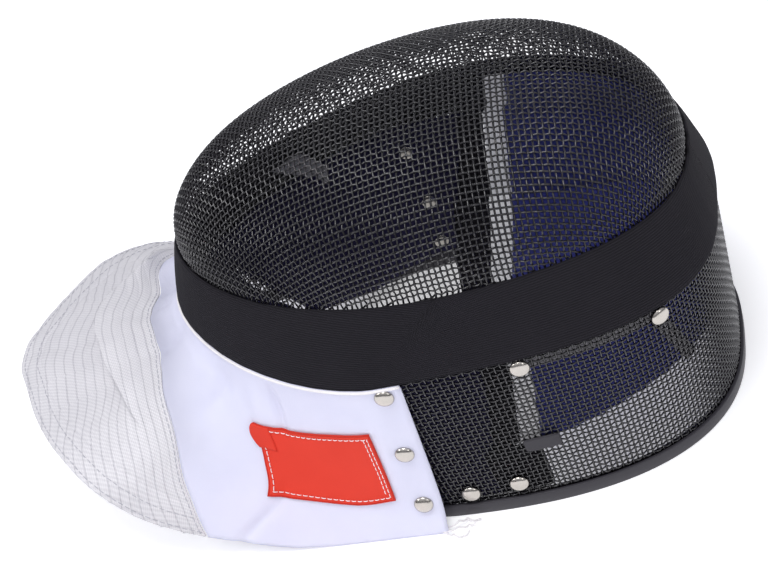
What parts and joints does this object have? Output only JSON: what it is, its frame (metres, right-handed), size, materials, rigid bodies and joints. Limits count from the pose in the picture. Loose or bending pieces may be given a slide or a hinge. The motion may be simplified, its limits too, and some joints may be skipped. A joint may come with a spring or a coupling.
{
  "type": "fencing mask",
  "caption": "Wire mesh fencing mask with a webbing seam band, plastic rim, riveted cloth bib with a conductive front, and a padded crown cup and straps inside",
  "frame": {"origin": "bottom centre of the bounding box, on the plane the rim lies on", "axes": "+X to the top of the head, -X to the chin and the bib's tip, -Y to the wearer's left, +Z out of the face, up as the mask lies"},
  "size_m": [0.3944, 0.222, 0.2016],
  "materials": {
    "front_wire": "black coated steel wire, woven",
    "side_wire": "black coated steel wire, woven",
    "webbing": "ribbed black webbing",
    "rim_plastic": "smooth dark grey plastic",
    "tab_plastic": "smooth dark plastic",
    "white_cloth": "white cotton twill",
    "conductive_cloth": "woven metallic cloth with sewn channels",
    "patch_cloth": "plain red-orange cloth",
    "nickel": "nickel plated, polished",
    "navy_pad": "navy cloth over foam",
    "dark_liner": "dark navy cloth over foam",
    "strap_cloth": "light grey webbing",
    "elastic": "black elastic",
    "anchor_webbing": "black webbing"
  },
  "bodies": {
    "root": {"anchor_far": "anchor_webbing", "anchor_near": "anchor_webbing", "back_elastic": "elastic", "back_strap": "strap_cloth", "bib_front": "conductive_cloth", "bib_white": "white_cloth", "chin_liner": "dark_liner", "crown_pad": "navy_pad", "front_mesh": "front_wire", "patch": "patch_cloth", "rim_trim": "rim_plastic", "rivet_bib_foot_far": "nickel", "rivet_bib_foot_near": "nickel", "rivet_bib_middle_far": "nickel", "rivet_bib_middle_near": "nickel", "rivet_bib_top_far": "nickel", "rivet_bib_top_near": "nickel", "rivet_crown_far": "nickel", "rivet_crown_near": "nickel", "rivet_rim_front_far": "nickel", "rivet_rim_front_near": "nickel", "rivet_rim_rear_far": "nickel", "rivet_rim_rear_near": "nickel", "rivet_strap_far": "nickel", "rivet_strap_near": "nickel", "seam_band": "webbing", "side_mesh": "side_wire", "tab_far": "tab_plastic", "tab_near": "tab_plastic"}
  },
  "joints": []
}
